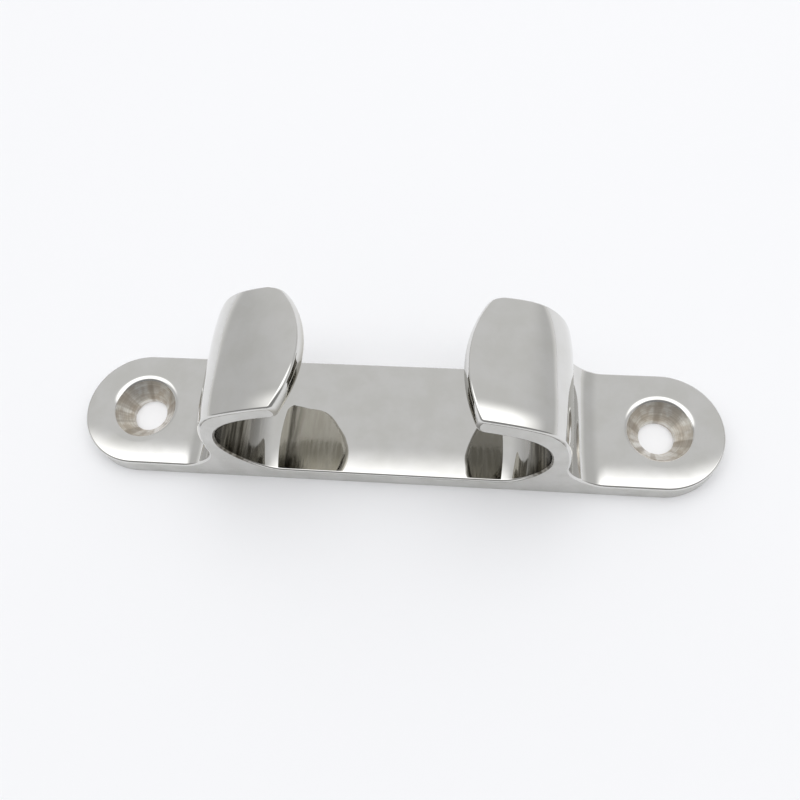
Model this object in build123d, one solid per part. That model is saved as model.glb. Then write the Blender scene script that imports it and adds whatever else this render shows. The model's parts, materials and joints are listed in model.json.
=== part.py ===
from build123d import *
import os

# Straight fairlead (open chock) for mooring lines, in millimetres.
# +X runs along the plate, +Y across it and +Z up. The origin is the centre of the flat underside.
# The left horn is at -X and the right horn at +X. Each is a hook whose lip points to the middle.

# Plate
PLATE_LENGTH = 115.0
PLATE_WIDTH = 21.6
EDGE_HEIGHT = 4.0
CROWN_RISE = 0.4

# Screw holes, one in the middle of each rounded end
HOLE_SPACING = 92.8
HOLE_DIAMETER = 6.3
SINK_DIAMETER = 11.4
BORE_LAND = 1.0

# Hook section, as distance from the middle of the plate and height: where it leaves the tab and
# reaches the plate's floor, and the height of its waist
TAB_BLEND_X = 37.0
FLOOR_BLEND_X = 18.5
WAIST_Z = 11.5

# The two horns are cast alike and finished by hand, so their sizes differ a little
HORNS = {
    "left_horn": {
        "waist_x": 30.3,
        "crease": (25.0, 26.7),
        "lip_x": 11.8,
        "lip_top_z": 31.9,
        "lip_under_z": 28.7,
        "throat": (27.4, 15.1),
        "lip_arc_radius": 17.0,
    },
    "right_horn": {
        "waist_x": 30.0,
        "crease": (24.7, 26.0),
        "lip_x": 12.5,
        "lip_top_z": 30.2,
        "lip_under_z": 26.4,
        "throat": (26.7, 13.9),
        "lip_arc_radius": 21.5,
    },
}

# Reach of the Bezier handles of the hook section, from the end point that each belongs to
TAB_HANDLE = 2.6
WALL_DOWN_HANDLE = 3.9
WALL_UP_HANDLE = 7.7
SHOULDER_HANDLE = (3.7, -2.0)
CREST_HANDLE = (-3.0, 1.6)
LIP_TOP_HANDLE = (6.8, -1.4)
LIP_UNDER_HANDLE = (8.8, -2.4)
THROAT_UP_HANDLE = 9.5
THROAT_DOWN_HANDLE = 3.7
FLOOR_HANDLE = 4.5

# The horns are barrelled: between their end faces their backs stand proud by this much, and the
# back end stands a little prouder than the front end
HORN_CROWN = 0.75
HORN_BACK_RISE = 0.35
CROWN_POWER = 4
CROWN_SECTIONS = 3
CREASE_SHARE = 0.7

# Height at which each horn meets its flared root on the plate
ROOT_Z = 8.0

# Lip end, seen from above: an arc whose middle lies a little in front of the plate's middle line
LIP_ARC_Y = -2.2
LIP_BACK_ROUND = 2.4
LIP_NOSE_ROUND = 1.0

# The hook section runs on past the lip by this much, before the lip arc cuts it off
LIP_SPARE = 1.5

HALF_WIDTH = PLATE_WIDTH / 2
END_CENTRE_X = PLATE_LENGTH / 2 - HALF_WIDTH
CROWN_Z = EDGE_HEIGHT + CROWN_RISE
ABOVE_ALL = 70.0


def shifted(point, step):
    """A point of the section, moved by a step."""
    return (point[0] + step[0], point[1] + step[1])


def handled_curve(start, start_handle, end, end_handle):
    """A Bezier curve between two points, with a handle's reach given at each."""
    return Bezier(start, shifted(start, start_handle), shifted(end, end_handle), end)


def crown_arc(from_y, to_y):
    """The plate's crown between two places across its width, as an arc with its top in the middle."""
    radius = (HALF_WIDTH**2 + CROWN_RISE**2) / (2 * CROWN_RISE)
    centre_z = CROWN_Z - radius

    def on_arc(y):
        return (y, centre_z + (radius**2 - y**2) ** 0.5)

    return ThreePointArc(on_arc(from_y), on_arc((from_y + to_y) / 2), on_arc(to_y))


def plate_blank():
    """A bar with a flat underside and a crowned top, with a domed half-round at each end."""
    bar_outline = Wire([
        Line((-HALF_WIDTH, 0), (HALF_WIDTH, 0)),
        Line((HALF_WIDTH, 0), (HALF_WIDTH, EDGE_HEIGHT)),
        crown_arc(HALF_WIDTH, -HALF_WIDTH),
        Line((-HALF_WIDTH, EDGE_HEIGHT), (-HALF_WIDTH, 0)),
    ])
    bar_start = Plane.YZ.offset(-END_CENTRE_X) * Face(bar_outline)
    bar = extrude(bar_start, amount=2 * END_CENTRE_X, dir=(1, 0, 0))
    dome_outline = Wire([
        Line((0, 0), (HALF_WIDTH, 0)),
        Line((HALF_WIDTH, 0), (HALF_WIDTH, EDGE_HEIGHT)),
        crown_arc(HALF_WIDTH, 0),
        Line((0, CROWN_Z), (0, 0)),
    ])
    dome = revolve(Plane.XZ * Face(dome_outline), Axis.Z)
    return bar + Pos(END_CENTRE_X, 0, 0) * dome + Pos(-END_CENTRE_X, 0, 0) * dome


def screw_hole(x):
    """The tool that cuts one countersunk hole."""
    bore_radius = HOLE_DIAMETER / 2
    sink_radius = SINK_DIAMETER / 2
    sink_depth = EDGE_HEIGHT - BORE_LAND
    slope = (sink_radius - bore_radius) / sink_depth
    rise = 2 * CROWN_RISE
    bore = Cylinder(bore_radius, ABOVE_ALL)
    top_radius = sink_radius + slope * rise
    sink = Pos(0, 0, BORE_LAND + (sink_depth + rise) / 2) * Cone(bore_radius, top_radius, sink_depth + rise)
    return Pos(x, 0, 0) * (bore + sink)


def hook_outline(sizes, crown):
    """The hook section on the +X side, with its back raised by the crown above the lowest section."""
    tab_end = (TAB_BLEND_X, EDGE_HEIGHT)
    waist = (sizes["waist_x"], WAIST_Z)
    crease = shifted(sizes["crease"], (CREASE_SHARE * crown, CREASE_SHARE * crown))
    lip_top = (sizes["lip_x"] - LIP_SPARE, sizes["lip_top_z"] + crown)
    lip_under = (sizes["lip_x"] - LIP_SPARE, sizes["lip_under_z"])
    throat = sizes["throat"]
    floor_end = (FLOOR_BLEND_X, EDGE_HEIGHT)
    foot_inner = (FLOOR_BLEND_X, BORE_LAND)
    foot_outer = (TAB_BLEND_X, BORE_LAND)
    return Wire([
        handled_curve(tab_end, (-TAB_HANDLE, 0), waist, (0, -WALL_DOWN_HANDLE)),
        handled_curve(waist, (crown, WALL_UP_HANDLE), crease, SHOULDER_HANDLE),
        handled_curve(crease, CREST_HANDLE, lip_top, LIP_TOP_HANDLE),
        Line(lip_top, lip_under),
        handled_curve(lip_under, LIP_UNDER_HANDLE, throat, (0, THROAT_UP_HANDLE)),
        handled_curve(throat, (0, -THROAT_DOWN_HANDLE), floor_end, (FLOOR_HANDLE, 0)),
        Line(floor_end, foot_inner),
        Line(foot_inner, foot_outer),
        Line(foot_outer, tab_end),
    ])


def crown_at(y):
    """How far the horn's back stands proud at a place across the width."""
    barrel = HORN_CROWN * (1 - abs(y / HALF_WIDTH) ** CROWN_POWER)
    return barrel + HORN_BACK_RISE * (y + HALF_WIDTH) / PLATE_WIDTH


def hook_bar(sizes):
    """The whole hook on the +X side, from the front face to the back face, barrelled between them."""
    sections = []
    for step in range(-CROWN_SECTIONS, CROWN_SECTIONS + 1):
        y = HALF_WIDTH * step / CROWN_SECTIONS
        sections.append(Plane.XZ.offset(-y) * Face(hook_outline(sizes, crown_at(y))))
    return loft(sections)


def height_band(low, high):
    """A slab that covers the whole plate between two heights."""
    return Pos(0, 0, (low + high) / 2) * Box(2 * PLATE_LENGTH, 2 * PLATE_WIDTH, high - low)


def lip_limit(sizes, back_round):
    """An upright prism over the horn: its end is the lip arc, and its back corner may be rounded."""
    radius = sizes["lip_arc_radius"]
    disc = Pos(sizes["lip_x"] + radius, LIP_ARC_Y) * Circle(radius)
    beyond = Pos(sizes["lip_x"] + radius + PLATE_LENGTH, 0) * Rectangle(2 * PLATE_LENGTH, 2 * PLATE_WIDTH)
    plan = (disc + beyond) & Rectangle(3 * PLATE_LENGTH, PLATE_WIDTH)
    if back_round:
        back_corner = plan.vertices().sort_by(Axis.X)[:2].sort_by(Axis.Y)[-1]
        plan = fillet(back_corner, back_round)
    return extrude(plan, amount=ABOVE_ALL)


def horn(sizes):
    """One horn on the +X side: the hook above its root, with an arc-shaped lip and a rounded nose."""
    body = hook_bar(sizes) & height_band(ROOT_Z, ABOVE_ALL) & lip_limit(sizes, 0)
    body = body.solids().sort_by(SortBy.VOLUME)[-1]
    nose_reach_x = sizes["lip_x"] + LIP_NOSE_ROUND
    near_lip = [edge for edge in body.edges() if edge.bounding_box().min.X < nose_reach_x]
    nose_edges = [edge for edge in near_lip if edge.length > HALF_WIDTH]
    return fillet(nose_edges, LIP_NOSE_ROUND) & lip_limit(sizes, LIP_BACK_ROUND)


def base_plate():
    """The plate with both flared roots and both screw holes."""
    plate = plate_blank()
    plate += mirror(hook_bar(HORNS["left_horn"]) & height_band(0, ROOT_Z), about=Plane.YZ)
    plate += hook_bar(HORNS["right_horn"]) & height_band(0, ROOT_Z)
    for side in (-1, 1):
        plate -= screw_hole(side * HOLE_SPACING / 2)
    return plate


def main():
    os.makedirs("parts", exist_ok=True)
    pieces = {
        "base_plate": base_plate(),
        "left_horn": mirror(horn(HORNS["left_horn"]), about=Plane.YZ),
        "right_horn": horn(HORNS["right_horn"]),
    }
    for name, piece in pieces.items():
        export_step(piece, f"parts/{name}.step")


main()
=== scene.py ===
"""Looks for the straight fairlead: mirror-polished steel castings on a pale studio floor.

Lengths in this script are millimetres until a mesh is made, where MM turns them into metres.
The frame is the CAD frame: +X along the plate, +Y to the back, +Z up, origin under the middle.
"""

import json
import math

import bpy
import numpy as np
from mathutils import Matrix, Vector


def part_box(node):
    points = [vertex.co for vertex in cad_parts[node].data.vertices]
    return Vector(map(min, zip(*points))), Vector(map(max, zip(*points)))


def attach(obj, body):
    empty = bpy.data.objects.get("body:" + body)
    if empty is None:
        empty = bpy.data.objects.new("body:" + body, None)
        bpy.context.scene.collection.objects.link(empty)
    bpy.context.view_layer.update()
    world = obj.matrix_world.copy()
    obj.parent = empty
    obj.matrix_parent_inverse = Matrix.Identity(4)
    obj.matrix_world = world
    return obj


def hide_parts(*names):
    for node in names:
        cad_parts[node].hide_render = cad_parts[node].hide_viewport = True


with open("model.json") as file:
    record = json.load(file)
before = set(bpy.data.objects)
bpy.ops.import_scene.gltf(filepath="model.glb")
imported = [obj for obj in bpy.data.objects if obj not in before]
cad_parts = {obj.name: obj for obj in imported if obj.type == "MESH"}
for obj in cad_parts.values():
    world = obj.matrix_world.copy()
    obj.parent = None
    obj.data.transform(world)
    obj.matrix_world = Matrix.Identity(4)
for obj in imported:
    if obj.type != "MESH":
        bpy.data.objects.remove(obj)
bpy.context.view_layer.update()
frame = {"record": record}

MM = 0.001

# ---------------------------------------------------------------- sizes read from the frame
plate_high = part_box("base_plate")[1]
horn_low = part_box("right_horn")[0]
screw_holes = next(m for m in frame["record"]["mounts"] if m["name"] == "screw_holes")

HALF_LENGTH = plate_high[0] / MM
HALF_WIDTH = plate_high[1] / MM
SEAM_Z = horn_low[2] / MM
HOLE_X = screw_holes["dims"]["spacing_x_mm"] / 2
BORE_RADIUS = screw_holes["dims"]["hole_r_mm"]
END_CENTRE_X = HALF_LENGTH - HALF_WIDTH

# ---------------------------------------------------------------- driving sizes of the shapes
EDGE_HEIGHT = 4.0
CROWN_RISE = 0.4
PLATE_CROWN_POWER = 2.6
TAB_CROWN_POWER = 4.0
EDGE_ROUND = 0.42
HORN_BACK_ROUND = 0.4
FOOT_ROUND = 0.15

# Share of the width parameter that each rounded edge takes up
EDGE_SHARE = 0.04

# Countersink: the cone, the rolled rim where it meets the plate, and the eased turn into the bore
CONE_FOOT_Z = 1.0
CONE_RADIUS = 5.6
CONE_TOP_Z = 3.95
RIM_RADIUS = 6.9
RIM_HANDLE = 0.8
CONE_EASE = 0.12

# Hook section: where it leaves the tab and reaches the floor, and the height of its waist
TAB_BLEND = (37.0, EDGE_HEIGHT)
FLOOR_BLEND = (18.5, EDGE_HEIGHT)
WAIST_Z = 11.5

# The two horns are cast alike and finished by hand, so their sizes differ a little
HORN_SIZES = {
    "left_horn": {
        "side": -1,
        "waist_x": 30.3,
        "crease": (25.0, 26.7),
        "lip_top_z": 31.9,
        "lip_under_z": 28.7,
        "throat": (27.4, 15.1),
        "lip_arc_radius": 17.0,
        "lip_back_round": 3.6,
    },
    "right_horn": {
        "side": 1,
        "waist_x": 30.0,
        "crease": (24.7, 26.0),
        "lip_top_z": 30.2,
        "lip_under_z": 26.4,
        "throat": (26.7, 13.9),
        "lip_arc_radius": 21.5,
        "lip_back_round": 2.3,
    },
}

# Reach of the Bezier handles of the hook section
TAB_HANDLE = 2.6
WALL_DOWN_HANDLE = 3.9
WALL_UP_HANDLE = 7.7
SHOULDER_HANDLE = (3.7, -2.0)
CREST_HANDLE = (-3.0, 1.6)
LIP_TOP_HANDLE = (6.8, -1.4)
LIP_UNDER_HANDLE = (8.8, -2.4)
THROAT_UP_HANDLE = 9.5
THROAT_DOWN_HANDLE = 3.7
FLOOR_HANDLE = 4.5

# The horns are barrelled across their width. The crease takes a share of the barrel's rise.
HORN_CROWN = 0.75
CROWN_POWER = 4
CREASE_SHARE = 0.6

# At the back the section is steeper through the crease, and then runs flatter to the lip
CREASE_BACK_SHIFT = (0.15, 0.35)
CREST_BACK_HANDLE = (-2.6, 2.1)
SHOULDER_BACK_HANDLE = (3.3, -2.6)
LIP_TOP_BACK_HANDLE = (7.0, -1.2)
LIP_BACK_DROP = 0.4

# Lip end in plan, where the middle of its arc lies a little in front of the plate's middle
LIP_ARC_Y = -1.2

# Lip end in section: its rounding, how far that may stretch where the end runs aslant, and the
# handles and tip of the round nose. The section runs on past the lip by the spare length.
LIP_NOSE_ROUND = 1.0
NOSE_STRETCH_LIMIT = 2.2
NOSE_HANDLE_SHARE = 0.62
NOSE_TIP_SHARE = 0.47
NOSE_TIP_HANDLE = 0.75
LIP_SPARE = 1.5

# Where the round ends' own mesh takes over from the straight part
TAB_START_X = 38.0


# ---------------------------------------------------------------- section curves
def bezier(points, t):
    """Points of a cubic Bezier curve. Control points may be arrays that vary like t."""
    a, b, c, d = points
    s = 1 - t
    weights = (s**3, 3 * s**2 * t, 3 * s * t**2, t**3)
    x = sum(w * p[0] for w, p in zip(weights, (a, b, c, d)))
    z = sum(w * p[1] for w, p in zip(weights, (a, b, c, d)))
    return x, z


def solve(curve, axis, value, rising):
    """Parameter at which a curve's x (axis 0) or z (axis 1) reaches a value, by halving."""
    low = np.zeros_like(value)
    high = np.ones_like(value)
    for _ in range(40):
        middle = (low + high) / 2
        here = bezier(curve, middle)[axis]
        beyond = here > value if rising else here < value
        high = np.where(beyond, middle, high)
        low = np.where(beyond, low, middle)
    return (low + high) / 2


# ---------------------------------------------------------------- running across the width
def across(v, back_round=EDGE_ROUND):
    """Place across the width for v from 0 (front face) to 1 (back face), and the edge rounding's inset."""
    front = np.clip(1 - v / EDGE_SHARE, 0, 1) * math.pi / 2
    back = np.clip(1 - (1 - v) / EDGE_SHARE, 0, 1) * math.pi / 2
    part = np.clip((v - EDGE_SHARE) / (1 - 2 * EDGE_SHARE), 0, 1)
    flat_front = -HALF_WIDTH + EDGE_ROUND
    flat_back = HALF_WIDTH - back_round
    y = flat_front + (flat_back - flat_front) * part
    y = y - EDGE_ROUND * np.sin(front) + back_round * np.sin(back)
    inset = EDGE_ROUND * (1 - np.cos(front)) + back_round * (1 - np.cos(back))
    return y, inset


def stations(edge_steps, flat_steps):
    """Values of v: close together round both edges, even between them."""
    edge = np.linspace(0, EDGE_SHARE, edge_steps, endpoint=False)
    middle = np.linspace(EDGE_SHARE, 1 - EDGE_SHARE, flat_steps)
    return np.concatenate([edge, middle, 1 - edge[::-1]])


def smooth_step(value):
    """From 0 to 1 with a flat start and a flat end."""
    value = np.clip(value, 0, 1)
    return value * value * (3 - 2 * value)


def horn_crown_at(y):
    """How far the horn stands proud at a place across the width."""
    return HORN_CROWN * (1 - np.abs(y / HALF_WIDTH) ** CROWN_POWER)


def backness(y):
    """From 0 at the front face to 1 at the back face, mostly over the back half."""
    return ((y + HALF_WIDTH) / (2 * HALF_WIDTH)) ** 2


def between(front, back, share):
    """A pair of numbers part of the way from one pair to another."""
    return (front[0] + (back[0] - front[0]) * share, front[1] + (back[1] - front[1]) * share)


# ---------------------------------------------------------------- horn surface
class Hook:
    """One hook's section and skin, drawn on the +X side."""

    def __init__(self, name):
        sizes = HORN_SIZES[name]
        low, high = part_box(name)
        self.side = sizes["side"]
        self.lip_x = min(abs(low[0]), abs(high[0])) / MM
        self.waist = (sizes["waist_x"], WAIST_Z)
        self.crease = sizes["crease"]
        self.lip_top_z = sizes["lip_top_z"]
        self.lip_under_z = sizes["lip_under_z"]
        self.throat = sizes["throat"]
        self.arc_radius = sizes["lip_arc_radius"]
        self.back_round = sizes["lip_back_round"]
        plain = self.curves(0.0, 0.0)
        self.outer_root = plain["outer_root"]
        self.floor = plain["floor"]
        self.seam_outer_t = float(solve(self.outer_root, 1, np.array(SEAM_Z), True))
        self.seam_inner_t = float(solve(self.floor, 1, np.array(SEAM_Z), False))

    def curves(self, rise, back):
        """Control points of the section's curves, from the tab over the top and back to the floor."""
        waist, throat = self.waist, self.throat
        crease_x = self.crease[0] + CREASE_SHARE * rise + CREASE_BACK_SHIFT[0] * back
        crease_z = self.crease[1] + CREASE_SHARE * rise + CREASE_BACK_SHIFT[1] * back
        crease = (crease_x, crease_z)
        crest_handle = between(CREST_HANDLE, CREST_BACK_HANDLE, back)
        lip_handle = between(LIP_TOP_HANDLE, LIP_TOP_BACK_HANDLE, back)
        shoulder_handle = between(SHOULDER_HANDLE, SHOULDER_BACK_HANDLE, back)
        lip_end_x = self.lip_x - LIP_SPARE
        lip_top = (lip_end_x, self.lip_top_z + rise - LIP_BACK_DROP * back)
        lip_under = (lip_end_x, self.lip_under_z)
        return {
            "outer_root": handled_curve(TAB_BLEND, (-TAB_HANDLE, 0), waist, (0, -WALL_DOWN_HANDLE)),
            "shoulder": handled_curve(waist, (rise, WALL_UP_HANDLE), crease, shoulder_handle),
            "crest": handled_curve(crease, crest_handle, lip_top, lip_handle),
            "roof": handled_curve(lip_under, LIP_UNDER_HANDLE, throat, (0, THROAT_UP_HANDLE)),
            "floor": handled_curve(throat, (0, -THROAT_DOWN_HANDLE), FLOOR_BLEND, (FLOOR_HANDLE, 0)),
        }

    def lip_plan(self, y):
        """Distance of the lip end from the middle, and how far its rounding is stretched in section."""
        radius = self.arc_radius
        back_round = self.back_round
        centre_x = self.lip_x + radius
        off = np.clip(y, -HALF_WIDTH, HALF_WIDTH) - LIP_ARC_Y
        arc_x = centre_x - np.sqrt(radius**2 - off**2)
        reach = radius - back_round
        corner_off = HALF_WIDTH - back_round - LIP_ARC_Y
        corner_x = centre_x - math.sqrt(reach**2 - corner_off**2)
        join = corner_off * radius / reach
        rise = np.clip(off - corner_off, 0, back_round)
        round_x = corner_x - np.sqrt(back_round**2 - rise**2)
        x = np.where(off > join, round_x, arc_x)
        arc_cos = np.sqrt(1 - (off / radius) ** 2)
        round_cos = np.sqrt(np.clip(1 - (rise / back_round) ** 2, 0.02, 1))
        cosine = np.where(off > join, round_cos, arc_cos)
        return x, np.minimum(1 / cosine, NOSE_STRETCH_LIMIT)

    def section(self, u, y):
        """Section at y. u runs 0 to 7: root, shoulder, crest, nose top, nose foot, roof, floor."""
        curves = self.curves(horn_crown_at(y), backness(y))
        lip_x, stretch = self.lip_plan(y)
        nose = LIP_NOSE_ROUND * stretch
        crest_end = solve(curves["crest"], 0, lip_x + nose, False)
        roof_start = solve(curves["roof"], 0, lip_x + nose, True)
        top = bezier(curves["crest"], crest_end)
        under = bezier(curves["roof"], roof_start)
        top_run = bezier(curves["crest"], crest_end + 1e-3)
        under_run = bezier(curves["roof"], roof_start - 1e-3)
        tip_z = NOSE_TIP_SHARE * top[1] + (1 - NOSE_TIP_SHARE) * under[1]
        tip = (lip_x, tip_z)
        reach = NOSE_HANDLE_SHARE * nose
        nose_top = (top, toward(top, top_run, reach), (lip_x, tip_z + NOSE_TIP_HANDLE), tip)
        nose_foot = (tip, (lip_x, tip_z - NOSE_TIP_HANDLE), toward(under, under_run, reach), under)
        pieces = (
            (curves["outer_root"], self.seam_outer_t, 1.0),
            (curves["shoulder"], 0.0, 1.0),
            (curves["crest"], 0.0, crest_end),
            (nose_top, 0.0, 1.0),
            (nose_foot, 0.0, 1.0),
            (curves["roof"], roof_start, 1.0),
            (curves["floor"], 0.0, self.seam_inner_t),
        )
        x = np.zeros_like(u)
        z = np.zeros_like(u)
        index = np.clip(np.floor(u), 0, 6)
        for number, (curve, start, end) in enumerate(pieces):
            px, pz = bezier(curve, start + (end - start) * (u - number))
            x = np.where(index == number, px, x)
            z = np.where(index == number, pz, z)
        return x, z

    def skin(self, u, v):
        """The swept skin. Its long edges are rounded, and the back one has its own size over the top."""
        on_top = smooth_step((u - 0.1) / 0.8) * smooth_step((3.0 - u) / 0.5)
        y, inset = across(v, EDGE_ROUND + (HORN_BACK_ROUND - EDGE_ROUND) * on_top)
        x, z = inset_section(self.section, u, y, inset)
        return np.stack([x, y, z], axis=-1)

    def outer_flare_section(self, u, y):
        """u from 0 at the seam to 1 where the flare meets the tab, then on to 2 along the flat."""
        t = self.seam_outer_t * (1 - np.clip(u, None, 1))
        x, z = bezier(self.outer_root, t)
        x = x + np.clip(u - 1, 0, None) * (TAB_START_X - TAB_BLEND[0])
        return x, z + CROWN_RISE * plate_crown_at(y, TAB_CROWN_POWER) * plate_fade(z)

    def inner_flare_section(self, u, y):
        """u from 0 where the flare meets the floor to 1 at the seam."""
        t = 1 - (1 - self.seam_inner_t) * u
        x, z = bezier(self.floor, t)
        return x, z + CROWN_RISE * plate_crown_at(y) * plate_fade(z)

    def outer_flare(self, u, v):
        y, inset = across(v)
        x, z = inset_section(self.outer_flare_section, u, y, -inset)
        return np.stack([x, y, z], axis=-1)

    def inner_flare(self, u, v):
        y, inset = across(v)
        x, z = inset_section(self.inner_flare_section, u, y, -inset)
        return np.stack([x, y, z], axis=-1)


def handled_curve(start, start_handle, end, end_handle):
    """Control points of a Bezier curve, from its ends and the reach of each handle."""
    first = (start[0] + start_handle[0], start[1] + start_handle[1])
    last = (end[0] + end_handle[0], end[1] + end_handle[1])
    return (start, first, last, end)


def toward(start, run, reach):
    """A point at a distance from the start, in the direction of another point."""
    dx, dz = run[0] - start[0], run[1] - start[1]
    size = np.hypot(dx, dz)
    return (start[0] + dx / size * reach, start[1] + dz / size * reach)


def inset_section(section, u, y, inset):
    """Moves a section into the material by the inset, along its own normal."""
    step = 1e-4
    x0, z0 = section(u - step, y)
    x1, z1 = section(u + step, y)
    dx, dz = x1 - x0, z1 - z0
    size = np.hypot(dx, dz)
    x, z = section(u, y)
    return x - dz / size * inset, z + dx / size * inset


# ---------------------------------------------------------------- plate surface
def plate_fade(z):
    """How much of the plate's crown is left at a height on a flare: all at the plate, none at the seam."""
    return np.clip((SEAM_Z - z) / (SEAM_Z - EDGE_HEIGHT), 0, 1) ** 2


def plate_crown_at(y, power=PLATE_CROWN_POWER):
    return 1 - np.abs(y / HALF_WIDTH) ** power


def plate_middle(u, v):
    """The flat run between the two flares, u from -1 to 1."""
    y, inset = across(v)
    z = EDGE_HEIGHT + CROWN_RISE * plate_crown_at(y) - inset
    return np.stack([u * FLOOR_BLEND[0] + 0 * v, y, z + 0 * u], axis=-1)


def tab_height(x, y):
    """Top of the tab: crowned across, and rolled off the same way round its end."""
    beyond = np.clip(x - END_CENTRE_X, 0, None)
    distance = np.hypot(beyond, y)
    return EDGE_HEIGHT + CROWN_RISE * plate_crown_at(distance, TAB_CROWN_POWER)


def tab_outline(s, distance):
    """Outline of the tab at a distance from its spine. s runs 0 to 3: front side, end, back side."""
    run = END_CENTRE_X - TAB_START_X
    angle = (np.clip(s - 1, 0, 1) - 0.5) * math.pi
    x_side = TAB_START_X + run * np.minimum(s, 3 - s)
    x_end = END_CENTRE_X + distance * np.cos(angle)
    x = np.where((s > 1) & (s < 2), x_end, x_side)
    y = distance * np.where(s <= 1, -1.0, np.where(s >= 2, 1.0, np.sin(angle)))
    return x, y


def tab_edge(s, q):
    """The rounded top edge of the tab, q from 0 on top to 1 at the side wall."""
    angle = q * math.pi / 2
    distance = HALF_WIDTH - EDGE_ROUND + EDGE_ROUND * np.sin(angle)
    x, y = tab_outline(s, distance)
    z = tab_height(x, y) - EDGE_ROUND * (1 - np.cos(angle))
    return np.stack([x, y, z], axis=-1)


def sink_profile(q, theta):
    """Countersink: q is 0 at the rim's outer edge, 1 at the cone, 2 at its foot, 3 in the bore, 4 below."""
    slope = (CONE_TOP_Z - CONE_FOOT_Z) / (CONE_RADIUS - BORE_RADIUS)

    def top_at(radius):
        return tab_height(HOLE_X + radius * np.cos(theta), radius * np.sin(theta))

    rim = (RIM_RADIUS + 0 * theta, top_at(RIM_RADIUS))
    rim_run = (RIM_RADIUS - RIM_HANDLE + 0 * theta, top_at(RIM_RADIUS - RIM_HANDLE))
    ease = CONE_EASE
    cone_run = (CONE_RADIUS + ease, CONE_TOP_Z + ease * slope)
    cone_top = (CONE_RADIUS, CONE_TOP_Z)
    cone_end = (BORE_RADIUS + ease, CONE_FOOT_Z + ease * slope)
    bore_top = (BORE_RADIUS, CONE_FOOT_Z - ease)
    rim_r, rim_z = bezier((rim, rim_run, cone_run, cone_top), np.clip(q, 0, 1))
    part = np.clip(q - 1, 0, 1)
    cone_r = cone_top[0] + (cone_end[0] - cone_top[0]) * part
    cone_z = cone_top[1] + (cone_end[1] - cone_top[1]) * part
    knee = (cone_end, (BORE_RADIUS, CONE_FOOT_Z), (BORE_RADIUS, CONE_FOOT_Z), bore_top)
    knee_r, knee_z = bezier(knee, np.clip(q - 2, 0, 1))
    bore_z = bore_top[1] * (1 - np.clip(q - 3, 0, 1))
    radius = np.where(q <= 1, rim_r, np.where(q <= 2, cone_r, np.where(q <= 3, knee_r, BORE_RADIUS)))
    z = np.where(q <= 1, rim_z, np.where(q <= 2, cone_z, np.where(q <= 3, knee_z, bore_z)))
    return radius, z


def sink_surface(theta, q):
    radius, z = sink_profile(q, theta)
    return np.stack([HOLE_X + radius * np.cos(theta), radius * np.sin(theta), z], axis=-1)


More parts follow.
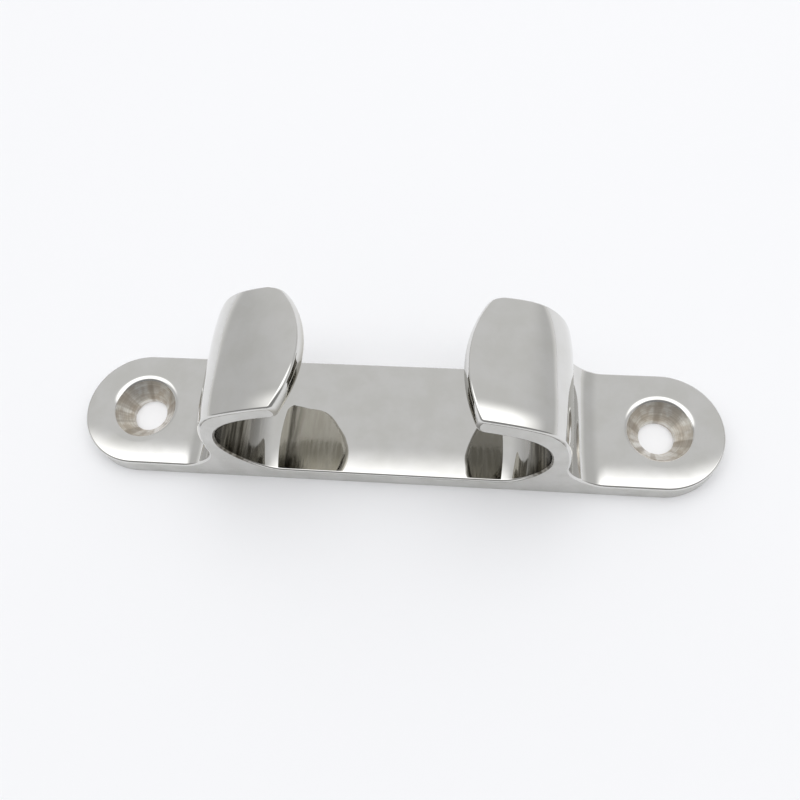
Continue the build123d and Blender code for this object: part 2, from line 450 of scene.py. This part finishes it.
# ---------------------------------------------------------------- mesh assembly
class Shell:
    """Collects patches of quads with exact normals and welds them into one closed mesh."""

    def __init__(self):
        self.corners = []
        self.normals = []
        self.materials = []
        self.polygons = []

    def grid(self, points, normals, material):
        """Quads over a grid of points, with the smooth normal of each point."""
        def corner_lists(values):
            return np.stack([values[:-1, :-1], values[1:, :-1], values[1:, 1:], values[:-1, 1:]], axis=2)

        corners = corner_lists(points).reshape(-1, 4, 3)
        self.corners.append(corners)
        self.normals.append(corner_lists(normals).reshape(-1, 4, 3))
        self.materials.append(np.full(len(corners), material))

    def surface(self, function, us, vs, material, outward):
        """A grid over a surface function, with normals from its own slopes, turned to point outward."""
        u, v = np.meshgrid(us, vs, indexing="ij")
        points = function(u, v)
        step = 2e-4
        low_u = np.maximum(u - step, us[0])
        high_u = np.minimum(u + step, us[-1])
        low_v = np.maximum(v - step, vs[0])
        high_v = np.minimum(v + step, vs[-1])
        du = function(high_u, v) - function(low_u, v)
        dv = function(u, high_v) - function(u, low_v)
        normals = np.cross(du, dv) * outward
        normals /= np.maximum(np.linalg.norm(normals, axis=-1, keepdims=True), 1e-12)
        self.grid(points, normals, material)
        return points

    def flat(self, points, normal, material):
        """A flat grid, all of one normal."""
        self.grid(points, np.broadcast_to(np.array(normal, float), points.shape), material)

    def polygon(self, points, normal, material):
        """One flat face with many corners."""
        self.polygons.append((points, normal, material))

    def take(self, other, flip):
        """Adds another shell's patches, mirrored left to right if flip is -1."""
        turn = np.array([flip, 1, 1])
        self.corners += [corners * turn for corners in other.corners]
        self.normals += [normals * turn for normals in other.normals]
        self.materials += other.materials

    def turn_outward(self, corners, normals):
        """Turns round the quads whose corners run the wrong way for their normals."""
        diagonals = np.cross(corners[:, 2] - corners[:, 0], corners[:, 3] - corners[:, 1])
        inside_out = np.einsum("ij,ij->i", diagonals, normals.sum(axis=1)) < 0
        corners[inside_out] = corners[inside_out, ::-1]
        normals[inside_out] = normals[inside_out, ::-1]

    def quad_faces(self, quads, normals, slots):
        """Faces from welded quads. A quad with one side of no length becomes a triangle."""
        repeated = quads == np.roll(quads, 1, axis=1)
        whole = ~repeated.any(axis=1)
        faces = quads[whole].tolist()
        face_normals = normals[whole].reshape(-1, 3).tolist()
        face_slots = slots[whole].tolist()
        for number in np.flatnonzero(repeated.sum(axis=1) == 1):
            kept = ~repeated[number]
            faces.append(quads[number][kept].tolist())
            face_normals += normals[number][kept].tolist()
            face_slots.append(int(slots[number]))
        return faces, face_normals, face_slots

    def build(self, name, materials):
        """Welds the patches and makes the mesh object."""
        corners = np.concatenate(self.corners)
        normals = np.concatenate(self.normals)
        slots = np.concatenate(self.materials)
        self.turn_outward(corners, normals)
        outlines = [outline for outline, _, _ in self.polygons]
        everything = np.concatenate([corners.reshape(-1, 3), *outlines])
        keys = np.round(everything, 4) + 0.0
        _, first, inverse = np.unique(keys, axis=0, return_index=True, return_inverse=True)
        inverse = inverse.reshape(-1)
        start = len(corners) * 4
        quads = inverse[:start].reshape(-1, 4)
        faces, face_normals, face_slots = self.quad_faces(quads, normals, slots)
        for outline, normal, material in self.polygons:
            ids = inverse[start : start + len(outline)]
            start += len(outline)
            around = sum(np.cross(outline[i - 1], outline[i]) for i in range(len(outline)))
            if np.dot(around, normal) < 0:
                ids = ids[::-1]
            faces.append(ids.tolist())
            face_normals += [list(normal)] * len(ids)
            face_slots.append(material)
        mesh = bpy.data.meshes.new(name)
        mesh.from_pydata((everything[first] * MM).tolist(), [], faces)
        for material in materials:
            mesh.materials.append(material)
        mesh.polygons.foreach_set("material_index", face_slots)
        mesh.polygons.foreach_set("use_smooth", [True] * len(faces))
        mesh.update()
        mesh.normals_split_custom_set(face_normals)
        piece = bpy.data.objects.new(name, mesh)
        bpy.context.scene.collection.objects.link(piece)
        return piece


def spans(*parts):
    """One list of parameters from (start, end, steps) parts that follow each other."""
    values = [np.array([parts[0][0]], float)]
    for start, end, steps in parts:
        values.append(np.linspace(start, end, steps + 1)[1:])
    return np.concatenate(values)


POLISHED, SATIN, MACHINED = 0, 1, 2
ACROSS = stations(6, 61)


def build_horn(name, hook, materials):
    """One horn: the swept skin, two ground end faces and the hidden seam face."""
    shell = Shell()
    outer = spans((0, 1, 14), (1, 2, 44), (2, 3, 44), (3, 3.999999, 14))
    inner = np.concatenate([[4.000001], spans((4, 5, 14), (5, 6, 88), (6, 7, 14))[1:]])
    us = np.concatenate([outer, inner[1:]])
    skin = shell.surface(hook.skin, us, ACROSS, POLISHED, -1)
    half = (len(us) - 1) // 2
    for end, normal in ((0, (0, -1, 0)), (-1, (0, 1, 0))):
        rail = skin[:, end]
        outside = rail[: half + 1]
        inside = rail[::-1][: half + 1]
        shell.flat(np.stack([outside, inside], axis=1), normal, SATIN)
    shell.flat(np.stack([skin[0], skin[-1]], axis=1), (0, 0, -1), SATIN)
    mirrored = Shell()
    mirrored.take(shell, hook.side)
    return mirrored.build(name, materials)


def wall_rows(rail, normal_rail, shell, material):
    """A side wall below a rail of points, straight down to a small round at the foot."""
    steps = 5
    rows = [rail]
    normals = [normal_rail]
    for k in range(steps + 1):
        angle = k / steps * math.pi / 2
        drop = FOOT_ROUND * (1 - math.sin(angle))
        inset = FOOT_ROUND * (1 - math.cos(angle))
        row = rail - normal_rail * inset
        row[:, 2] = drop
        rows.append(row)
        normals.append(normal_rail * math.cos(angle) + np.array([0, 0, -math.sin(angle)]))
    shell.grid(np.stack(rows), np.stack(normals), material)
    return rows[-1]


def build_plate(hooks, materials):
    """The base plate: crowned middle, four flares, two tabs with countersunk holes, walls and underside."""
    merged = Shell()
    bottoms = {}
    for hook in hooks:
        shell = Shell()
        bottoms[hook.side] = add_plate_end(shell, hook)
        merged.take(shell, hook.side)
    middle_us = spans((-1, 1, 96))
    skin = merged.surface(plate_middle, middle_us, ACROSS, POLISHED, 1)
    for end, y_dir in ((0, -1), (-1, 1)):
        rail = skin[:, end]
        normal = np.tile([0.0, y_dir, 0.0], (len(rail), 1))
        bottoms[("middle", y_dir)] = wall_rows(rail, normal, merged, SATIN)
    right = bottoms[1]
    left = bottoms[-1]
    ring = [right["front"], right["tab_line"], right["back"][::-1], bottoms[("middle", 1)][::-1]]
    ring += [left["back"], left["tab_line"][::-1], left["front"][::-1], bottoms[("middle", -1)]]
    outline = np.concatenate(ring)
    keep = [i for i in range(len(outline)) if np.abs(outline[i] - outline[i - 1]).max() > 1e-4]
    merged.polygon(outline[keep], (0, 0, -1), SATIN)
    return merged.build("base_plate_cast", materials)


def add_plate_end(shell, hook):
    """Everything at one end of the plate, drawn on the +X side. Gives the lines round its foot."""
    flip = np.array([hook.side, 1, 1])
    inner_us = spans((0, 1, 40))
    outer_us = spans((0, 1, 44), (1, 2, 4))
    inner = shell.surface(hook.inner_flare, inner_us, ACROSS, POLISHED, 1)
    outer = shell.surface(hook.outer_flare, outer_us, ACROSS, POLISHED, 1)
    shell.flat(np.stack([inner[-1], outer[0]], axis=1), (0, 0, 1), SATIN)
    bottoms = {}
    for end, y_dir, word in ((0, -1, "front"), (-1, 1, "back")):
        rail = np.concatenate([inner[:, end], outer[:, end]])
        normal = np.tile([0.0, y_dir, 0.0], (len(rail), 1))
        bottoms[word] = wall_rows(rail, normal, shell, SATIN) * flip
    tab_line_y = outer[-1][:, 1]
    flat_rows = np.abs(tab_line_y) <= HALF_WIDTH - EDGE_ROUND + 1e-6
    line = outer[-1][flat_rows]
    edge_s = spans((0, 1, 34), (1, 2, 130), (2, 3, 34))
    edge_q = np.linspace(0, 1, 7)
    rim = shell.surface(tab_edge, edge_s, edge_q, POLISHED, -1)
    outline_top = rim[:, 0]
    boundary = np.concatenate([outline_top, line[::-1][1:-1], outline_top[:1]])
    theta = np.unwrap(np.arctan2(boundary[:, 1], boundary[:, 0] - HOLE_X))
    fractions = np.linspace(0, 1, 15)
    inner_x = HOLE_X + RIM_RADIUS * np.cos(theta)
    inner_y = RIM_RADIUS * np.sin(theta)
    x = inner_x[:, None] + (boundary[:, 0] - inner_x)[:, None] * fractions
    y = inner_y[:, None] + (boundary[:, 1] - inner_y)[:, None] * fractions
    step = 1e-3
    z = tab_height(x, y)
    slope_x = (tab_height(x + step, y) - tab_height(x - step, y)) / (2 * step)
    slope_y = (tab_height(x, y + step) - tab_height(x, y - step)) / (2 * step)
    normals = np.stack([-slope_x, -slope_y, np.ones_like(z)], axis=-1)
    normals /= np.linalg.norm(normals, axis=-1, keepdims=True)
    shell.grid(np.stack([x, y, z], axis=-1), normals, POLISHED)
    rim_q = spans((0, 1, 12))
    cone_q = spans((1, 2, 24), (2, 3, 6), (3, 4, 4))
    shell.surface(sink_surface, theta, rim_q, POLISHED, 1)
    bore = shell.surface(sink_surface, theta, cone_q, MACHINED, 1)
    wall_normal = np.stack([outline_normal(value) for value in edge_s])
    foot = wall_rows(rim[:, -1], wall_normal, shell, SATIN)
    foot_line = line[::-1][1:-1].copy()
    foot_line[:, 2] = 0
    foot_ring = np.concatenate([foot, foot_line, foot[:1]])
    grid = bore[:, -1][:, None] + (foot_ring - bore[:, -1])[:, None] * np.linspace(0, 1, 4)[None, :, None]
    shell.flat(grid, (0, 0, -1), SATIN)
    bottoms["tab_line"] = foot_line[::-1] * flip
    return bottoms


def outline_normal(s):
    """Outward direction of the tab's side wall."""
    angle = (min(max(s - 1, 0), 1) - 0.5) * math.pi
    return np.array([math.cos(angle), math.sin(angle), 0.0])


# ---------------------------------------------------------------- shader helpers
class Graph:
    """Short names for the shader nodes that the materials and the studio are built from."""

    def __init__(self, tree):
        self.tree = tree

    def put(self, socket, value):
        """Sets a socket to a plain value, or links it to another socket."""
        if isinstance(value, (int, float, tuple)):
            socket.default_value = value
        else:
            self.tree.links.new(value, socket)

    def maths(self, operation, a, b=0.0):
        made = self.tree.nodes.new("ShaderNodeMath")
        made.operation = operation
        self.put(made.inputs[0], a)
        self.put(made.inputs[1], b)
        return made.outputs[0]

    def ramp(self, value, low, high, out_low=0.0, out_high=1.0):
        """A smooth step of the value from low to high."""
        made = self.tree.nodes.new("ShaderNodeMapRange")
        made.interpolation_type = "SMOOTHSTEP"
        self.put(made.inputs["Value"], value)
        self.put(made.inputs["From Min"], low)
        self.put(made.inputs["From Max"], high)
        self.put(made.inputs["To Min"], out_low)
        self.put(made.inputs["To Max"], out_high)
        return made.outputs["Result"]

    def mix(self, factor, a, b):
        """Colour a where the factor is 0 and colour b where it is 1."""
        made = self.tree.nodes.new("ShaderNodeMix")
        made.data_type = "RGBA"
        self.put(made.inputs["Factor"], factor)
        self.put(made.inputs["A"], (*a, 1.0) if isinstance(a, tuple) else a)
        self.put(made.inputs["B"], (*b, 1.0) if isinstance(b, tuple) else b)
        return made.outputs["Result"]

    def product(self, a, b):
        """Two vectors or colours, multiplied number by number."""
        made = self.tree.nodes.new("ShaderNodeVectorMath")
        made.operation = "MULTIPLY"
        self.put(made.inputs[0], a)
        self.put(made.inputs[1], b)
        return made.outputs[0]

    def parts(self, vector):
        """The three numbers of a vector."""
        made = self.tree.nodes.new("ShaderNodeSeparateXYZ")
        self.tree.links.new(vector, made.inputs[0])
        return made.outputs[0], made.outputs[1], made.outputs[2]

    def vector(self, x, y, z):
        """A vector from its three numbers."""
        made = self.tree.nodes.new("ShaderNodeCombineXYZ")
        for socket, value in zip(made.inputs, (x, y, z)):
            self.put(socket, value)
        return made.outputs[0]

    def noise(self, vector, detail, scale=1.0):
        """Soft noise from 0 to 1."""
        made = self.tree.nodes.new("ShaderNodeTexNoise")
        made.inputs["Scale"].default_value = scale
        made.inputs["Detail"].default_value = detail
        self.tree.links.new(vector, made.inputs["Vector"])
        return made.outputs["Fac"]

    def bump(self, height, depth, before=None):
        """A normal for a height from 0 to 1 that stands for a depth in metres."""
        made = self.tree.nodes.new("ShaderNodeBump")
        made.inputs["Strength"].default_value = 1.0
        made.inputs["Distance"].default_value = depth
        self.tree.links.new(height, made.inputs["Height"])
        if before is not None:
            self.tree.links.new(before, made.inputs["Normal"])
        return made.outputs["Normal"]


def grey(level):
    return (level, level, level)


# ---------------------------------------------------------------- studio
# A plain light tent: how bright its parts are, and the degrees over which one fades into the next
PANEL_LEVEL = 1.75
CLOTH_LEVEL = 0.70
SIDE_LEVEL = 0.58
FRONT_LEVEL = 0.28
TABLE_LEVEL = 0.85
PANEL_TO_CLOTH = (6, 18)
CLOTH_TO_SIDE = (35, 60)
PANEL_TO_FRONT = (-14, -30)
TENT_TO_TABLE = (78, 92)


def light_tent(graph, east, north, down):
    """The tent's colour, by degrees from straight up: to the right, to the back, and in all."""
    room = graph.mix(graph.ramp(north, *PANEL_TO_CLOTH), grey(PANEL_LEVEL), grey(CLOTH_LEVEL))
    sideways = graph.maths("ABSOLUTE", east)
    room = graph.mix(graph.ramp(sideways, *CLOTH_TO_SIDE), room, grey(SIDE_LEVEL))
    room = graph.mix(graph.ramp(north, *PANEL_TO_FRONT), room, grey(FRONT_LEVEL))
    return graph.mix(graph.ramp(down, *TENT_TO_TABLE), room, grey(TABLE_LEVEL))


def length(graph, a, b):
    """Length of the hypotenuse over two sides."""
    squares = graph.maths("ADD", graph.maths("MULTIPLY", a, a), graph.maths("MULTIPLY", b, b))
    return graph.maths("SQRT", squares)


def build_world():
    world = bpy.data.worlds.new("studio")
    bpy.context.scene.world = world
    world.use_nodes = True
    tree = world.node_tree
    graph = Graph(tree)
    place = tree.nodes.new("ShaderNodeTexCoord")
    x, y, z = graph.parts(place.outputs["Generated"])

    # Never quite 0, so that the divisions below hold straight up as well
    level = graph.maths("MAXIMUM", length(graph, x, y), 1e-5)
    down = graph.maths("MULTIPLY", graph.maths("ARCTAN2", level, z), 180 / math.pi)
    east = graph.maths("MULTIPLY", down, graph.maths("DIVIDE", x, level))
    north = graph.maths("MULTIPLY", down, graph.maths("DIVIDE", y, level))
    background = tree.nodes["Background"]
    tree.links.new(light_tent(graph, east, north, down), background.inputs["Color"])


# ---------------------------------------------------------------- fill light, floor and camera
FILL_WATTS = 1.55
FILL_WIDTH = 0.9
FILL_PLACE = (0.05, 0.15, 0.75)
FLOOR_HALF = 2.5
FLOOR_COLOUR = (0.915, 0.92, 0.94)

# The camera stands close over the part, a little to the right and in front. Place in millimetres.
CAMERA_PLACE = (14.76, -56.31, 133.8)
CAMERA_ELEVATION = 64.57
CAMERA_AZIMUTH = -13.16
CAMERA_RIGHT = (0.9943, 0.0798, -0.0707)
CAMERA_LENS = 35.70
CAMERA_SENSOR = 36.0


def build_fill_light():
    """A wide soft box that lifts the pale floor. The steel doesn't mirror it."""
    data = bpy.data.lights.new("soft_box", "AREA")
    data.shape = "DISK"
    data.size = FILL_WIDTH
    data.energy = FILL_WATTS
    light = bpy.data.objects.new("soft_box", data)
    light.location = FILL_PLACE
    light.visible_glossy = False
    light.visible_camera = False
    bpy.context.scene.collection.objects.link(light)


def build_floor():
    half = FLOOR_HALF
    corners = [(-half, -half, 0), (half, -half, 0), (half, half, 0), (-half, half, 0)]
    mesh = bpy.data.meshes.new("floor")
    mesh.from_pydata(corners, [], [(0, 1, 2, 3)])
    floor = bpy.data.objects.new("floor", mesh)
    bpy.context.scene.collection.objects.link(floor)
    material = bpy.data.materials.new("floor")
    material.use_nodes = True
    shader = material.node_tree.nodes["Principled BSDF"]
    shader.inputs["Base Color"].default_value = (*FLOOR_COLOUR, 1)
    shader.inputs["Roughness"].default_value = 0.9
    shader.inputs["Specular IOR Level"].default_value = 0.2
    mesh.materials.append(material)


def build_camera():
    elevation = math.radians(CAMERA_ELEVATION)
    azimuth = math.radians(CAMERA_AZIMUTH)
    level = math.cos(elevation)
    forward = Vector((math.sin(azimuth) * level, math.cos(azimuth) * level, -math.sin(elevation)))
    right = Vector(CAMERA_RIGHT)
    right = (right - forward * right.dot(forward)).normalized()
    up = right.cross(forward)
    data = bpy.data.cameras.new("camera")
    data.lens = CAMERA_LENS
    data.sensor_width = CAMERA_SENSOR
    data.clip_start = 0.005
    data.clip_end = 10
    camera = bpy.data.objects.new("camera", data)
    camera.location = Vector(CAMERA_PLACE) * MM
    camera.rotation_mode = "QUATERNION"
    camera.rotation_quaternion = Matrix((right, up, -forward)).transposed().to_quaternion()
    bpy.context.scene.collection.objects.link(camera)
    bpy.context.scene.camera = camera


# ---------------------------------------------------------------- materials
# Depths of the surface marks, in metres
WAVE_DEPTH = 1.2e-5
SKIN_DEPTH = 2.5e-5
GRAIN_DEPTH = 4e-6
RING_DEPTH = 2.0e-5

POLISH_DARK = (0.69, 0.685, 0.66)
POLISH_BRIGHT = (0.73, 0.725, 0.71)
SKIN_DARK = (0.44, 0.42, 0.36)
SKIN_BRIGHT = (0.50, 0.48, 0.425)
# Painted shade deep in the hook throats, streaked like the cast skin
THROAT_SHADE_DARK = (0.09, 0.082, 0.066)
THROAT_SHADE_BRIGHT = (0.29, 0.275, 0.24)
SATIN_DARK = (0.56, 0.555, 0.53)
SATIN_BRIGHT = (0.63, 0.625, 0.605)
CUT_STAINED = (0.70, 0.655, 0.59)
CUT_BRIGHT = (0.90, 0.89, 0.855)
CUT_RAY = (0.44, 0.385, 0.32)
CUT_RING = (0.40, 0.36, 0.31)


def new_steel(name):
    """A metal material: the helper of its node tree, its shader and the object place in millimetres."""
    material = bpy.data.materials.new(name)
    material.use_nodes = True
    tree = material.node_tree
    shader = tree.nodes["Principled BSDF"]
    shader.inputs["Metallic"].default_value = 1.0
    place = tree.nodes.new("ShaderNodeTexCoord")
    scaled = tree.nodes.new("ShaderNodeVectorMath")
    scaled.operation = "SCALE"
    scaled.inputs["Scale"].default_value = 1 / MM
    tree.links.new(place.outputs["Object"], scaled.inputs[0])
    return material, Graph(tree), shader, scaled.outputs[0]


def cast_skin_and_shade(graph, place):
    """Where the unpolished skin inside the hooks lies, from 0 to 1, its colour with painted shade, and its
    streaks.
    """
    x, y, z = graph.parts(place)
    geometry = graph.tree.nodes.new("ShaderNodeNewGeometry")
    facing_up = graph.parts(geometry.outputs["Normal"])[2]
    off = graph.maths("ABSOLUTE", x)
    inside = graph.ramp(off, 28.6, 27.8)
    throat = graph.maths("MULTIPLY", graph.ramp(off, 21.5, 25.5), graph.ramp(z, 19.0, 16.0))
    skin = graph.maths("MAXIMUM", graph.ramp(facing_up, 0.45, 0.0), throat)
    skin = graph.maths("MULTIPLY", skin, inside)

    # Streaks across the width, left by the belt that dressed the inside
    streaks = graph.noise(graph.product(place, (1.3, 0.12, 1.3)), 3)
    cast = graph.mix(graph.ramp(streaks, 0.35, 0.68), SKIN_DARK, SKIN_BRIGHT)
    # Painted shade for deep in the throats, dark and streaked the same way
    throat_shade = graph.mix(graph.ramp(streaks, 0.42, 0.66), THROAT_SHADE_DARK, THROAT_SHADE_BRIGHT)

    # Painted shade: darker on the right horn and towards the front, and darkest deep in the throats
    to_right = graph.ramp(x, -5, 5, 1.0, 0.5)
    to_front = graph.ramp(y, -11, 1, 0.7, 1.0)
    shade = graph.maths("MULTIPLY", to_right, to_front)
    cast = graph.product(cast, graph.vector(shade, shade, shade))
    colour = graph.mix(graph.ramp(off, 20.5, 24.0), cast, throat_shade)
    return skin, colour, streaks


def polished_steel(name):
    """Mirror-polished stainless steel, with the darker cast skin left inside the hooks and painted shade on
    that skin.
    """
    material, graph, shader, place = new_steel(name)
    tree = graph.tree
    skin, skin_and_shade_colour, streaks = cast_skin_and_shade(graph, place)
    clouds = graph.noise(graph.product(place, (0.22, 0.22, 0.22)), 4)
    bright = graph.mix(graph.ramp(clouds, 0.3, 0.7), POLISH_DARK, POLISH_BRIGHT)
    # The cast skin's colour carries painted shade
    tree.links.new(graph.mix(skin, bright, skin_and_shade_colour), shader.inputs["Base Color"])

    # Fine polishing marks: faint haze in patches, and more on the cast skin
    hairlines = graph.noise(graph.product(place, (2.2, 14.0, 2.2)), 2)
    haze = graph.ramp(graph.maths("MULTIPLY", hairlines, clouds), 0.2, 0.45, 0.015, 0.05)
    skin_haze = graph.maths("MULTIPLY", skin, graph.ramp(streaks, 0.3, 0.7, 0.05, 0.2))
    tree.links.new(graph.maths("ADD", haze, skin_haze), shader.inputs["Roughness"])

    # The hand-polished surface is very slightly wavy
    waves = graph.noise(graph.product(place, (0.28, 0.28, 0.28)), 1)
    wavy = graph.bump(waves, WAVE_DEPTH)
    ridges = graph.maths("MULTIPLY", streaks, skin)
    tree.links.new(graph.bump(ridges, SKIN_DEPTH, wavy), shader.inputs["Normal"])
    return material


def satin_steel(name):
    """Linished stainless steel: ground flat along the plate on a fine belt."""
    material, graph, shader, place = new_steel(name)
    tree = graph.tree
    grain = graph.noise(graph.product(place, (0.9, 9.0, 9.0)), 3)
    smudges = graph.noise(graph.product(place, (0.25, 0.25, 0.25)), 3)
    tone = graph.mix(graph.ramp(smudges, 0.35, 0.65), SATIN_DARK, SATIN_BRIGHT)
    tree.links.new(tone, shader.inputs["Base Color"])
    ground = graph.ramp(grain, 0.3, 0.7, 0.26, 0.38)
    greasy = graph.ramp(smudges, 0.3, 0.7, 0, 0.08)
    tree.links.new(graph.maths("ADD", ground, greasy), shader.inputs["Roughness"])
    tree.links.new(graph.bump(grain, GRAIN_DEPTH), shader.inputs["Normal"])
    return material


def machined_steel(name):
    """The countersinks: turned, with tool rings round the hole and a little brown stain."""
    material, graph, shader, place = new_steel(name)
    shader.inputs["Anisotropic"].default_value = 0.5
    tree = graph.tree
    x, y, _ = graph.parts(place)
    side = graph.maths("SIGN", x)
    off = graph.maths("SUBTRACT", x, graph.maths("MULTIPLY", side, HOLE_X))
    radius = length(graph, off, y)
    across_x = graph.maths("DIVIDE", off, radius)
    across_y = graph.maths("DIVIDE", y, radius)

    # The tool runs round the hole, so the tangent does too
    tangent = graph.vector(graph.maths("MULTIPLY", across_y, -1.0), across_x, 0.0)
    tree.links.new(tangent, shader.inputs["Tangent"])
    rings = graph.noise(graph.vector(graph.maths("MULTIPLY", radius, 5.0), side, 0.0), 3)
    rays = graph.noise(graph.vector(across_x, across_y, side), 2, 2.6)
    stain = graph.noise(graph.product(place, (0.7, 0.7, 0.7)), 4)
    tone = graph.mix(graph.ramp(stain, 0.38, 0.62), CUT_STAINED, CUT_BRIGHT)
    tone = graph.mix(graph.ramp(rays, 0.5, 0.36, 0, 0.55), tone, CUT_RAY)
    tone = graph.mix(graph.ramp(rings, 0.42, 0.6, 0.3, 0), tone, CUT_RING)
    tree.links.new(tone, shader.inputs["Base Color"])
    tree.links.new(graph.ramp(rays, 0.35, 0.62, 0.55, 0.36), shader.inputs["Roughness"])
    tree.links.new(graph.bump(rings, RING_DEPTH), shader.inputs["Normal"])
    return material


# ---------------------------------------------------------------- the scene
materials = (
    polished_steel("polished_steel"),
    satin_steel("satin_steel"),
    machined_steel("machined_steel"),
)
hooks = {name: Hook(name) for name in HORN_SIZES}

plate = build_plate(hooks.values(), materials)
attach(plate, "root")
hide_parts("base_plate")
for name, hook in hooks.items():
    horn = build_horn(f"{name}_cast", hook, materials)
    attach(horn, "root")
    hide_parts(name)

build_floor()
build_fill_light()
build_world()
build_camera()
bpy.context.scene.view_settings.view_transform = "Standard"
